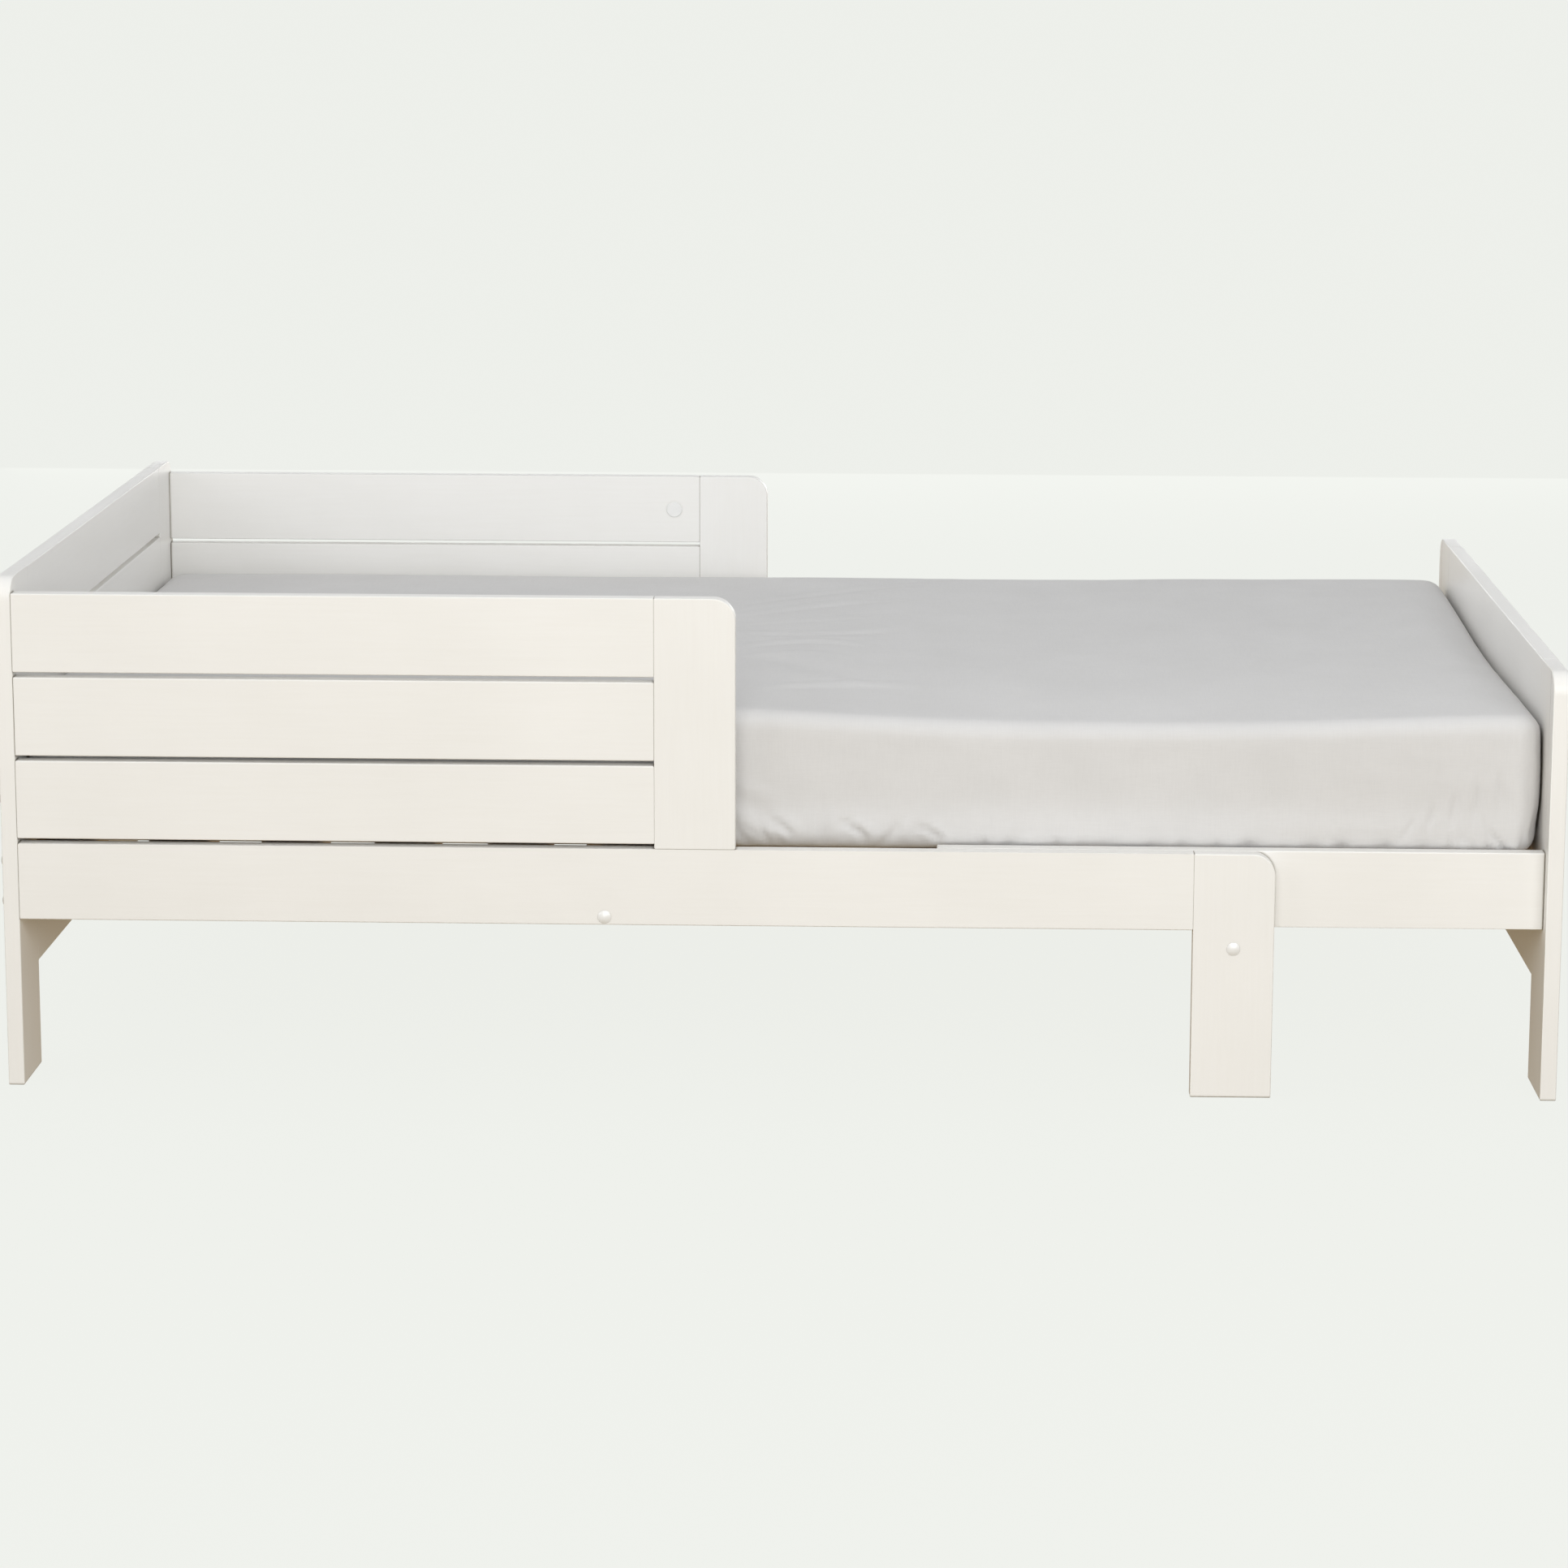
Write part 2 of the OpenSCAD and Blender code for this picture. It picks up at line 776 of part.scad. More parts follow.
module foot_nuts() {
    color(zinc) at_footboard() on_both_sides()
        translate([-nut_distance, inner_rail_in, foot_bolt_height]) rotate([-90, 0, 0])
            barrel_nut(inner_rail_mid - inner_rail_in);
}

// ---------- Mattress and sheet ----------

mattress_head_gap = 4;
mattress_foot_gap = 6;
mattress_corner_r = 45;
mattress_split = collapsed_length - 20;
mattress_length = rest_length - mattress_head_gap - mattress_foot_gap;
sheet_thickness = 1.2;
sheet_clearance = 0.4;

// The mattress outline grown by an amount all round, cut to a stretch of X
module mattress_outline(grow, x) {
    intersection() {
        rounded_outline(
            [mattress_head_gap - grow, mattress_head_gap + mattress_length + grow],
            [-mattress_width / 2 - grow, mattress_width / 2 + grow],
            mattress_corner_r + grow
        );
        translate([x[0], -mattress_width]) square([x[1] - x[0], 2 * mattress_width]);
    }
}

module mattress_section(x) {
    from_head() translate([0, 0, mattress_bottom]) linear_extrude(mattress_thickness) mattress_outline(0, x);
}

module mattress_main() {
    color(foam) mattress_section([0, mattress_split]);
}

// Removable piece at the foot, which is taken out or doubled as the bed changes length
module mattress_extension() {
    color(foam) mattress_section([mattress_split + 1, rest_length]);
}

module fitted_sheet() {
    inner = sheet_clearance;
    outer = sheet_clearance + sheet_thickness;
    whole = [-10, rest_length + 10];
    color(sheet_grey) from_head() translate([0, 0, mattress_bottom]) difference() {
        linear_extrude(mattress_thickness + outer) mattress_outline(outer, whole);
        translate([0, 0, -1]) linear_extrude(mattress_thickness + inner + 1) mattress_outline(inner, whole);
    }
}

// ---------- Nodes ----------

for (s = [0, 1]) {
    side = s == 0 ? front : back;
    headboard_post(side);
    outer_rail(side);
    mid_leg(side);
    for (i = [1:guard_count])
        guard_board(side, i);
    guard_post(side);
    head_ledge(side);
    bearer(side);
    footboard_post(side);
    inner_rail(side);
    foot_ledge(side);
}
for (i = [1:headboard_count])
    headboard_board(i);
for (i = [1:footboard_count])
    footboard_board(i);
cross_board();
mid_beam();
head_slats();
middle_slats();
foot_slats();
mattress_main();
mattress_extension();
fitted_sheet();
headboard_bolts();
footboard_bolts();
beam_bolts();
head_nuts();
foot_nuts();
headboard_bolt_caps();
footboard_bolt_caps();
beam_bolt_caps();
guard_cam_fittings();
guard_cam_caps();
headboard_dowels();
footboard_dowels();
guard_dowels();
rail_dowels();
lock_sleeves();
lock_bolts();
head_section_screws();
foot_section_screws();
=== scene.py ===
import math

import bmesh
import bpy
import numpy as np
from mathutils import Matrix, Vector, noise


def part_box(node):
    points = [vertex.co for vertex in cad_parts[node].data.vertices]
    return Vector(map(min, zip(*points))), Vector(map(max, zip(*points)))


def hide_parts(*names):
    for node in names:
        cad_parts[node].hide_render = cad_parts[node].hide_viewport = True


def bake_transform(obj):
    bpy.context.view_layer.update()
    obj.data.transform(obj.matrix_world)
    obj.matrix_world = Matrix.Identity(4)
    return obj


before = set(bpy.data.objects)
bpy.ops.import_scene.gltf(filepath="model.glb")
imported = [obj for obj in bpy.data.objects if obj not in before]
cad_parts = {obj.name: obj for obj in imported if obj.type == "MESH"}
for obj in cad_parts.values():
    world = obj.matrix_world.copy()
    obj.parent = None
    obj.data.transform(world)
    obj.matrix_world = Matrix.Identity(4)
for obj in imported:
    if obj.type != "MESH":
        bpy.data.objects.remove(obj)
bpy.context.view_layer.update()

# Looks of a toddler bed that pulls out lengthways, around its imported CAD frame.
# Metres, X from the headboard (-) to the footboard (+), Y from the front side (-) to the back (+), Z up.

# The camera stands in front of the bed's middle and looks slightly down on it.
CAMERA_PLACE = (0.144, -4.858, 1.312)
CAMERA_YAW = math.radians(1.40)
CAMERA_PITCH = math.radians(9.69)
CAMERA_ROLL = math.radians(0.20)
CAMERA_LENS = 92.7
CAMERA_SHIFT = (-0.019, -0.12)

# The studio: a pale floor that glows in the backdrop's colour and runs out of sight, under a sky that is
# brightest overhead. Bounced light passes through the floor and meets the sky's colour below the horizon,
# which stands for the warm light that a floor sends back up.
BACKDROP = (0.855, 0.871, 0.831)
BACKDROP_GLOW = 0.975
FLOOR_SHADES = (0.032, 0.036)
FLOOR_HALF = 150.0
SKY_OVERHEAD = (0.69, 0.695, 0.70)
SKY_LOW = (0.43, 0.43, 0.425)
BELOW_HORIZON = (0.345, 0.275, 0.17)
HORIZON_BLUR = 0.03

# Softboxes that face the bed's middle: each one's place, size and power in watts.
LAMPS = {
    "key": ((0.7, -3.4, 1.5), (4.0, 2.0), 79.0),
    "fill": ((-3.0, -2.0, 1.6), (2.0, 2.0), 19.0),
    "back": ((0.0, 4.5, 0.55), (4.0, 1.1), 45.0),
}
LAMP_TARGET = (0.0, 0.0, 0.3)
LAMP_COLOUR = (0.98, 0.995, 1.0)

# Colours of the materials, in linear RGB.
PAINT_DARKER = (0.853, 0.841, 0.815)
PAINT_LIGHTER = (0.877, 0.866, 0.842)
PAINT_GRAIN = (0.74, 0.71, 0.65)
# Paler paint on convex edges: partly wear, partly a painted highlight.
PAINT_WEAR_AND_HIGHLIGHT = (0.90, 0.89, 0.86)
# Painted shade for the seams between boards.
PAINT_SEAM_SHADE = (0.33, 0.30, 0.24)
PINE_EARLYWOOD = (0.74, 0.57, 0.37)
PINE_LATEWOOD = (0.58, 0.385, 0.205)
PINE_FIBRE = (0.50, 0.33, 0.18)
PINE_KNOT = (0.24, 0.125, 0.055)
BEECH = (0.66, 0.47, 0.29)
BEECH_FLECK = (0.45, 0.28, 0.15)
PLASTIC_DARKER = (0.84, 0.835, 0.82)
PLASTIC_LIGHTER = (0.88, 0.877, 0.865)
ZINC_DARKER = (0.52, 0.53, 0.55)
ZINC_LIGHTER = (0.68, 0.69, 0.71)
BRASS_DARKER = (0.62, 0.44, 0.18)
BRASS_LIGHTER = (0.78, 0.58, 0.28)
COTTON_DARKER = (0.668, 0.660, 0.655)
COTTON_LIGHTER = (0.696, 0.688, 0.684)
COTTON_SLUB = (0.58, 0.57, 0.565)
# Painted shade in the quilting's stitched valleys.
TICKING_STITCH_SHADE = (0.60, 0.585, 0.54)
TICKING_PUFFED = (0.80, 0.785, 0.735)
TICKING_TWILL = (0.66, 0.645, 0.60)

# The sheet's threads to the metre, and how far its uneven threads are drawn out along their run.
SHEET_THREADS = 1700.0
THREAD_STRETCH = 14.0
# The scale of the mattress cover's quilting.
QUILT_SCALE = 4.2
# How near a second surface must be for the painted shade to darken paint in seams, in metres.
SEAM_SHADE_REACH = 0.0035

# Softened edges of the painted boards and of the bare ones. An edge sharper than EDGE_ANGLE is rounded,
# unless it bends as tightly as the rim of a hole.
BOARD_ROUNDING = 0.0014
PLANED_ROUNDING = 0.0010
ROUNDING_STEPS = 3
HOLE_RADIUS = 0.015
SMOOTH_ANGLE = math.radians(30.0)
EDGE_ANGLE = math.radians(40.0)
FLAT_ANGLE = math.radians(1.0)
SMALLEST_BEND = math.radians(2.0)
LARGEST_BEND = math.radians(60.0)
WELD_DISTANCE = 0.00002
PLACE_DIGITS = 5

# The fitted sheet: how it is cut, rounded over the foam and gathered.
CLOTH_THICKNESS = 0.0009
HEM_DEPTH = 0.055
TOP_ROUNDING = 0.020
BOTTOM_ROUNDING = 0.018
CORNER_ROUNDING = 0.030
HEM_CORNER_ROUNDING = 0.085
SHEET_CLEARANCE = 0.0026
SIDE_CLEARANCE = 0.0045
# Gathers of the hem: how many there are, and the ranges that each one's size is drawn from.
GATHERS_ALONG_SIDE = 64
GATHERS_ALONG_END = 34
GATHER_SEED = 11
GATHER_DEPTHS = (0.0008, 0.0032)
GATHER_WIDTHS = (0.005, 0.011)
GATHER_LEANS = (-0.9, 0.9)
GATHER_REACHES = (0.016, 0.038)
# Places along the front where the hem is drawn in more than by a gather.
POCKETS = 15
POCKET_DEPTH = 0.0065
POCKET_WIDTHS = (0.004, 0.010)
POCKET_STRENGTHS = (0.3, 1.0)
POCKET_REACH = 0.015
POCKETS_PAST_GUARD = 0.24
# Gathers and places are spread evenly, and each one strays within this part of its share of the length.
STRAY = (0.1, 0.9)

# How far the stuffed pad departs from a plain block, in metres.
CROWN = 0.004
FRONT_DROP = 0.004
FRONT_SLUMP = 0.0125
BACK_LIFT = 0.004
FOOT_DROP = 0.011
GUARD_HOLLOW = 0.0040
RAIL_BULGE = 0.0036
SIDE_BULGE = 0.0012
FOOT_BULGE = 0.0030
HEAD_BULGE = 0.0012
CORNER_TUCK = 0.010
CORNER_SEAM = 0.0010

# Unevenness of the sheet's top and of its sides: the hills' height, size, seed and stretch.
TOP_HILLS = ((0.0014, 0.22, 1, (1.0, 1.0, 1.0)), (0.0005, 0.05, 2, (1.8, 1.0, 1.0)))
SIDE_HILLS = ((0.0008, 0.16, 4, (1.0, 1.0, 2.0)), (0.0004, 0.04, 5, (1.0, 1.0, 1.6)))

# Steps of the two skins along X, along Y and round each corner, and round an edge and up the wall.
SHEET_STEPS = (300, 196, 12)
SHEET_WALL_STEPS = (5, 17)
HEM_STEPS = 3
FOAM_STEPS = (120, 64, 6)
FOAM_WALL_STEPS = (5, 12)
STATION_SAMPLES = 2000
SMALLEST_RADIUS = 0.002
LID_MARGIN = 0.008
SKIN_WELD = 0.00001


# ---------------------------------------------------------------- materials


def feed(tree, socket, value):
    """Links another node's output to a socket, or sets the socket to a plain value."""
    if isinstance(value, bpy.types.NodeSocket):
        tree.links.new(value, socket)
    else:
        socket.default_value = value


def add_node(tree, kind, inputs=None, **settings):
    """A shader node with its settings, each input a plain value or another node's output."""
    made = tree.nodes.new(kind)
    for name, value in settings.items():
        setattr(made, name, value)
    for name, value in (inputs or {}).items():
        feed(tree, made.inputs[name], value)
    return made


def new_material(name, **uniform):
    """A material with its node tree and its Principled shader, whose uniform inputs are set by name."""
    material = bpy.data.materials.new(name)
    material.use_nodes = True
    tree = material.node_tree
    shader = tree.nodes["Principled BSDF"]
    for socket, value in uniform.items():
        shader.inputs[socket.replace("_", " ")].default_value = value
    return material, tree, shader


def object_coordinates(tree, scale=(1.0, 1.0, 1.0)):
    """Object coordinates in metres, stretched by a scale."""
    place = add_node(tree, "ShaderNodeTexCoord").outputs["Object"]
    return add_node(tree, "ShaderNodeMapping", {"Vector": place, "Scale": scale}).outputs["Vector"]


def drawn_out(tree, axis, stretch):
    """Object coordinates in which a pattern is drawn out along one axis."""
    return object_coordinates(tree, tuple(1.0 / stretch if name == axis else 1.0 for name in "XYZ"))


def noise_factor(tree, vector, per_metre, detail=3.0, roughness=0.55, distortion=0.0):
    """Noise from 0 to 1 at a scale given per metre."""
    inputs = {"Vector": vector, "Scale": per_metre, "Detail": detail}
    inputs.update({"Roughness": roughness, "Distortion": distortion})
    return add_node(tree, "ShaderNodeTexNoise", inputs).outputs["Fac"]


def mapped(tree, value, low, high, to_low, to_high):
    """A value moved from one range to another, and kept inside the new one."""
    inputs = {"Value": value, "From Min": low, "From Max": high, "To Min": to_low, "To Max": to_high}
    return add_node(tree, "ShaderNodeMapRange", inputs).outputs["Result"]


def spread(tree, noise_value, to_low=0.0, to_high=1.0):
    """Noise mapped from its middle part, 0.3 to 0.7, to a new range."""
    return mapped(tree, noise_value, 0.3, 0.7, to_low, to_high)


def math_node(tree, operation, first, second):
    """A calculation on two values or outputs."""
    made = add_node(tree, "ShaderNodeMath", operation=operation)
    for socket, value in zip(made.inputs, (first, second)):
        feed(tree, socket, value)
    return made.outputs["Value"]


def mixed_colour(tree, factor, first, second):
    """The first colour where the factor is 0, the second where it is 1. Either may be an output."""
    made = add_node(tree, "ShaderNodeMix", data_type="RGBA")
    sockets = {socket.identifier: socket for socket in made.inputs}
    feed(tree, sockets["Factor_Float"], factor)
    for name, value in (("A_Color", first), ("B_Color", second)):
        linked = isinstance(value, bpy.types.NodeSocket)
        feed(tree, sockets[name], value if linked else (*value, 1.0))
    return next(socket for socket in made.outputs if socket.identifier == "Result_Color")


def bumped(tree, height, distance, strength=1.0, normal=None):
    """A bump of a height map over another normal, or over the plain surface."""
    inputs = {"Height": height, "Distance": distance, "Strength": strength}
    if normal is not None:
        inputs["Normal"] = normal
    return add_node(tree, "ShaderNodeBump", inputs).outputs["Normal"]


def connect(tree, shader, **outputs):
    """Links outputs to the shader's inputs by name."""
    for socket, output in outputs.items():
        tree.links.new(output, shader.inputs[socket.replace("_", " ")])


def painted_wood(axis):
    """Warm white satin paint. The wood's grain and the roller's stipple just show through, edges that
    stand out are a little paler, partly from wear and partly as a painted highlight, and painted shade
    darkens the seams between boards."""
    material, tree, shader = new_material(
        "painted_wood_" + axis, Specular_IOR_Level=0.45, Coat_Weight=0.08, Coat_Roughness=0.3
    )
    plain = object_coordinates(tree)
    drawn = drawn_out(tree, axis, 26.0)
    grain = noise_factor(tree, drawn, 330.0, detail=4.0, roughness=0.6, distortion=0.25)
    clouds = noise_factor(tree, plain, 5.0)
    stipple = noise_factor(tree, plain, 900.0, detail=2.0)
    colour = mixed_colour(tree, spread(tree, clouds), PAINT_DARKER, PAINT_LIGHTER)
    fibre = mapped(tree, grain, 0.35, 0.75, 0.0, 0.09)
    colour = mixed_colour(tree, fibre, colour, PAINT_GRAIN)
    # Convex edges a little paler: partly wear, partly a painted highlight.
    edge = add_node(tree, "ShaderNodeNewGeometry").outputs["Pointiness"]
    wear_and_highlight = mapped(tree, edge, 0.53, 0.62, 0.0, 0.10)
    colour = mixed_colour(tree, wear_and_highlight, colour, PAINT_WEAR_AND_HIGHLIGHT)
    # Painted shade: ambient occlusion darkens the paint in seams between boards.
    openness = add_node(tree, "ShaderNodeAmbientOcclusion", {"Distance": SEAM_SHADE_REACH}, samples=8)
    seam_shade = mapped(tree, openness.outputs["AO"], 0.40, 0.96, 0.92, 0.0)
    colour = mixed_colour(tree, seam_shade, colour, PAINT_SEAM_SHADE)
    normal = bumped(tree, grain, 0.00014, 0.5)
    normal = bumped(tree, stipple, 0.00008, 0.5, normal)
    roughness = spread(tree, clouds, 0.36, 0.48)
    connect(tree, shader, Base_Color=colour, Normal=normal, Roughness=roughness)
    return material


def bare_pine(axis):
    """Planed pine: bands of growth rings drawn along the board, fine fibres and a few knots."""
    material, tree, shader = new_material("bare_pine_" + axis, Specular_IOR_Level=0.3)
    drawn = drawn_out(tree, axis, 9.0)
    bend = noise_factor(tree, drawn, 7.0, detail=2.0)
    across = add_node(tree, "ShaderNodeVectorMath", {0: drawn, 1: bend}, operation="ADD")
    wave = {"Vector": across.outputs["Vector"], "Scale": 34.0, "Distortion": 2.2, "Detail": 2.0}
    rings = add_node(tree, "ShaderNodeTexWave", wave, bands_direction="DIAGONAL").outputs["Fac"]
    fibres = noise_factor(tree, drawn_out(tree, axis, 40.0), 520.0)
    cells = {"Vector": drawn_out(tree, axis, 2.2), "Scale": 5.5}
    knots = add_node(tree, "ShaderNodeTexVoronoi", cells).outputs["Distance"]
    band = mapped(tree, rings, 0.15, 0.95, 0.0, 0.75)
    colour = mixed_colour(tree, band, PINE_EARLYWOOD, PINE_LATEWOOD)
    streaks = mapped(tree, fibres, 0.3, 0.8, 0.0, 0.35)
    colour = mixed_colour(tree, streaks, colour, PINE_FIBRE)
    spots = mapped(tree, knots, 0.035, 0.075, 1.0, 0.0)
    colour = mixed_colour(tree, spots, colour, PINE_KNOT)
    normal = bumped(tree, fibres, 0.0003, 0.6)
    roughness = mapped(tree, rings, 0.0, 1.0, 0.52, 0.68)
    connect(tree, shader, Base_Color=colour, Normal=normal, Roughness=roughness)
    return material


def beech_dowel(axis):
    """Pale beech with short dark flecks."""
    material, tree, shader = new_material("beech_dowel_" + axis, Specular_IOR_Level=0.3, Roughness=0.6)
    flecks = noise_factor(tree, drawn_out(tree, axis, 6.0), 700.0, detail=2.0)
    colour = mixed_colour(tree, mapped(tree, flecks, 0.55, 0.75, 0.0, 0.8), BEECH, BEECH_FLECK)
    connect(tree, shader, Base_Color=colour, Normal=bumped(tree, flecks, 0.0002, 0.5))
    return material


def white_plastic():
    """Glossy moulded covers, with the faint waviness of thin plastic."""
    material, tree, shader = new_material(
        "white_plastic", Specular_IOR_Level=0.5, Coat_Weight=0.4, Coat_Roughness=0.08
    )
    waves = noise_factor(tree, object_coordinates(tree), 140.0, detail=2.0)
    colour = mixed_colour(tree, waves, PLASTIC_DARKER, PLASTIC_LIGHTER)
    normal = bumped(tree, waves, 0.0002, 0.35)
    roughness = spread(tree, waves, 0.16, 0.26)
    connect(tree, shader, Base_Color=colour, Normal=normal, Roughness=roughness)
    return material


def metal(name, darker, lighter):
    """Plated or turned metal with fine tool marks and a mottled sheen."""
    material, tree, shader = new_material(name, Metallic=1.0)
    mottle = noise_factor(tree, object_coordinates(tree), 260.0)
    scratches = noise_factor(tree, drawn_out(tree, "X", 12.0), 2400.0, detail=2.0)
    colour = mixed_colour(tree, spread(tree, mottle), darker, lighter)
    normal = bumped(tree, scratches, 0.00005, 0.4)
    roughness = spread(tree, mottle, 0.28, 0.46)
    connect(tree, shader, Base_Color=colour, Normal=normal, Roughness=roughness)
    return material


def weave_height(tree, threads_per_metre):
    """Crossed threads on any face: bands along X over bands along Y and Z."""
    plain = object_coordinates(tree)
    bands = []
    for direction in "XYZ":
        # A wave texture draws 10 / pi bands to the metre at scale 1.
        inputs = {"Vector": plain, "Scale": threads_per_metre * math.pi / 10, "Distortion": 0.6}
        inputs.update({"Detail": 1.0, "Detail Scale": 1.5})
        made = add_node(tree, "ShaderNodeTexWave", inputs, bands_direction=direction)
        bands.append(made.outputs["Fac"])
    return math_node(tree, "MULTIPLY", bands[0], math_node(tree, "ADD", bands[1], bands[2]))


def sheet_cotton():
    """Light warm grey plain-weave cotton with slightly uneven threads and a soft bloom."""
    material, tree, shader = new_material(
        "sheet_cotton", Specular_IOR_Level=0.2, Sheen_Weight=0.12, Sheen_Roughness=0.5
    )
    weave = weave_height(tree, SHEET_THREADS)
    warp = noise_factor(tree, drawn_out(tree, "X", THREAD_STRETCH), 760.0, roughness=0.6)
    across = object_coordinates(tree, (1.0, 1.0 / THREAD_STRETCH, 1.0 / THREAD_STRETCH))
    weft = noise_factor(tree, across, 760.0, roughness=0.6)
    slubs = math_node(tree, "ADD", warp, weft)
    clouds = noise_factor(tree, object_coordinates(tree), 9.0, detail=4.0)
    colour = mixed_colour(tree, spread(tree, clouds), COTTON_DARKER, COTTON_LIGHTER)
    colour = mixed_colour(tree, mapped(tree, slubs, 0.85, 1.25, 0.0, 0.16), colour, COTTON_SLUB)
    normal = bumped(tree, weave, 0.00012, 0.35)
    normal = bumped(tree, slubs, 0.00015, 0.35, normal)
    roughness = mapped(tree, slubs, 0.8, 1.2, 0.78, 0.92)
    connect(tree, shader, Base_Color=colour, Normal=normal, Roughness=roughness)
    return material


def mattress_ticking():
    """Off-white ticking, quilted in diamonds, in a soft twill, with painted shade in the stitched valleys.
    """
    material, tree, shader = new_material("mattress_ticking", Specular_IOR_Level=0.2, Sheen_Weight=0.2)
    turn = {"Vector": object_coordinates(tree), "Rotation": (0.0, 0.0, math.radians(45.0))}
    turned = add_node(tree, "ShaderNodeMapping", turn).outputs["Vector"]
    cells = []
    for direction in "XY":
        inputs = {"Vector": turned, "Scale": QUILT_SCALE}
        made = add_node(tree, "ShaderNodeTexWave", inputs, bands_direction=direction)
        cells.append(made.outputs["Fac"])
    quilt = math_node(tree, "MINIMUM", cells[0], cells[1])
    puff_height_and_shade = mapped(tree, quilt, 0.0, 0.35, 0.0, 1.0)
    twill = noise_factor(tree, drawn_out(tree, "X", 5.0), 900.0, detail=2.0)
    # Painted shade: darker colour in the stitched valleys of the quilting.
    colour = mixed_colour(tree, puff_height_and_shade, TICKING_STITCH_SHADE, TICKING_PUFFED)
    colour = mixed_colour(tree, mapped(tree, twill, 0.4, 0.7, 0.0, 0.25), colour, TICKING_TWILL)
    normal = bumped(tree, puff_height_and_shade, 0.003, 0.8)
    normal = bumped(tree, twill, 0.0003, 0.5, normal)
    roughness = spread(tree, twill, 0.75, 0.9)
    connect(tree, shader, Base_Color=colour, Normal=normal, Roughness=roughness)
    return material


# ---------------------------------------------------------------- the CAD parts' looks


def grain_axis(node):
    """Wood runs along a part's longest side. A set of slats is longest across its slats, which run
    along Y."""
    if node.endswith("slats"):
        return "Y"
    low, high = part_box(node)
    sides = high - low
    return "XYZ"[max(range(3), key=lambda side: sides[side])]


def clear_flat_shading(mesh, sharp_angle):
    """Smooth shading that keeps the creases sharper than an angle."""
    if "custom_normal" in mesh.attributes:
        mesh.attributes.remove(mesh.attributes["custom_normal"])
    mesh.set_sharp_from_angle(angle=sharp_angle)


def rounded_place(point):
    """A point's place, rounded so that the copies of one corner compare as equal."""
    return tuple(round(part, PLACE_DIGITS) for part in point)


def turn_radius(edge, end, sharp):
    """The radius of the bend from a sharp edge into the next one past its end, or None without a bend."""
    ahead = end.co - edge.other_vert(end).co
    radii = []
    for following in end.link_edges:
        if following in sharp and following != edge:
            onward = following.other_vert(end).co - end.co
            turn = ahead.angle(onward, 0.0)
            if SMALLEST_BEND < turn < LARGEST_BEND:
                radii.append((ahead.length + onward.length) / 2 / turn)
    return min(radii, default=None)


def mark_board_edges(mesh):
    """Marks for rounding the edges that sanding reaches, and keeps the rims of holes sharp."""
    welded = bmesh.new()
    welded.from_mesh(mesh)
    bmesh.ops.remove_doubles(welded, verts=welded.verts, dist=WELD_DISTANCE)
    sharp = {edge for edge in welded.edges if edge.calc_face_angle(0.0) > EDGE_ANGLE}
    rounded, kept = set(), set()
    for edge in sharp:
        radii = [turn_radius(edge, end, sharp) for end in edge.verts]
        on_rim = any(radius is not None and radius < HOLE_RADIUS for radius in radii)
        chosen = kept if on_rim else rounded
        chosen.add(frozenset(rounded_place(end.co) for end in edge.verts))
    welded.free()
    ends = [rounded_place(vertex.co) for vertex in mesh.vertices]
    weights = []
    for edge in mesh.edges:
        place = frozenset(ends[end] for end in edge.vertices)
        weights.append(float(place in rounded))
        if place in kept:
            edge.use_edge_sharp = True
    layer = mesh.attributes.new("bevel_weight_edge", "FLOAT", "EDGE")
    layer.data.foreach_set("value", weights)


def soften_edges(part, rounding):
    """Rounds the part's marked edges in a modifier, as sanding and paint do."""
    mark_board_edges(part.data)
    weld = part.modifiers.new("weld", "WELD")
    weld.merge_threshold = WELD_DISTANCE
    flatten = part.modifiers.new("flatten", "DECIMATE")
    flatten.decimate_type = "DISSOLVE"
    flatten.angle_limit = FLAT_ANGLE
    bevel = part.modifiers.new("soft_edges", "BEVEL")
    bevel.width = rounding
    bevel.segments = ROUNDING_STEPS
    bevel.limit_method = "WEIGHT"
    bevel.use_clamp_overlap = False
    bevel.harden_normals = True


WOODS = {"painted_wood": painted_wood, "bare_pine": bare_pine, "beech_dowel": beech_dowel}
FINISHES = {
    "white_plastic": white_plastic(),
    "zinc_steel": metal("zinc_steel", ZINC_DARKER, ZINC_LIGHTER),
    "brass": metal("brass", BRASS_DARKER, BRASS_LIGHTER),
    "sheet_cotton": sheet_cotton(),
    "mattress_cover": mattress_ticking(),
}
ROUNDINGS = {"painted_wood": BOARD_ROUNDING, "bare_pine": PLANED_ROUNDING}

made_woods = {}
for node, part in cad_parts.items():
    slot = part.material_slots[0].material.name
    if slot in WOODS:
        axis = grain_axis(node)
        if (slot, axis) not in made_woods:
            made_woods[slot, axis] = WOODS[slot](axis)
        part.material_slots[0].material = made_woods[slot, axis]
    else:
        part.material_slots[0].material = FINISHES[slot]
    clear_flat_shading(part.data, SMOOTH_ANGLE)
    if slot in ROUNDINGS:
        soften_edges(part, ROUNDINGS[slot])


# ---------------------------------------------------------------- mattress and sheet


sheet_low, sheet_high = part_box("fitted_sheet")
foam_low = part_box("mattress_main")[0]
rail_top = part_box("inner_rail_front")[1].z
guard_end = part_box("guard_front_post")[1].x
centre_x = (sheet_low.x + sheet_high.x) / 2
sheet_half = ((sheet_high.x - sheet_low.x) / 2, (sheet_high.y - sheet_low.y) / 2)
sheet_bottom = foam_low.z + CLOTH_THICKNESS / 2
sheet_top = sheet_high.z


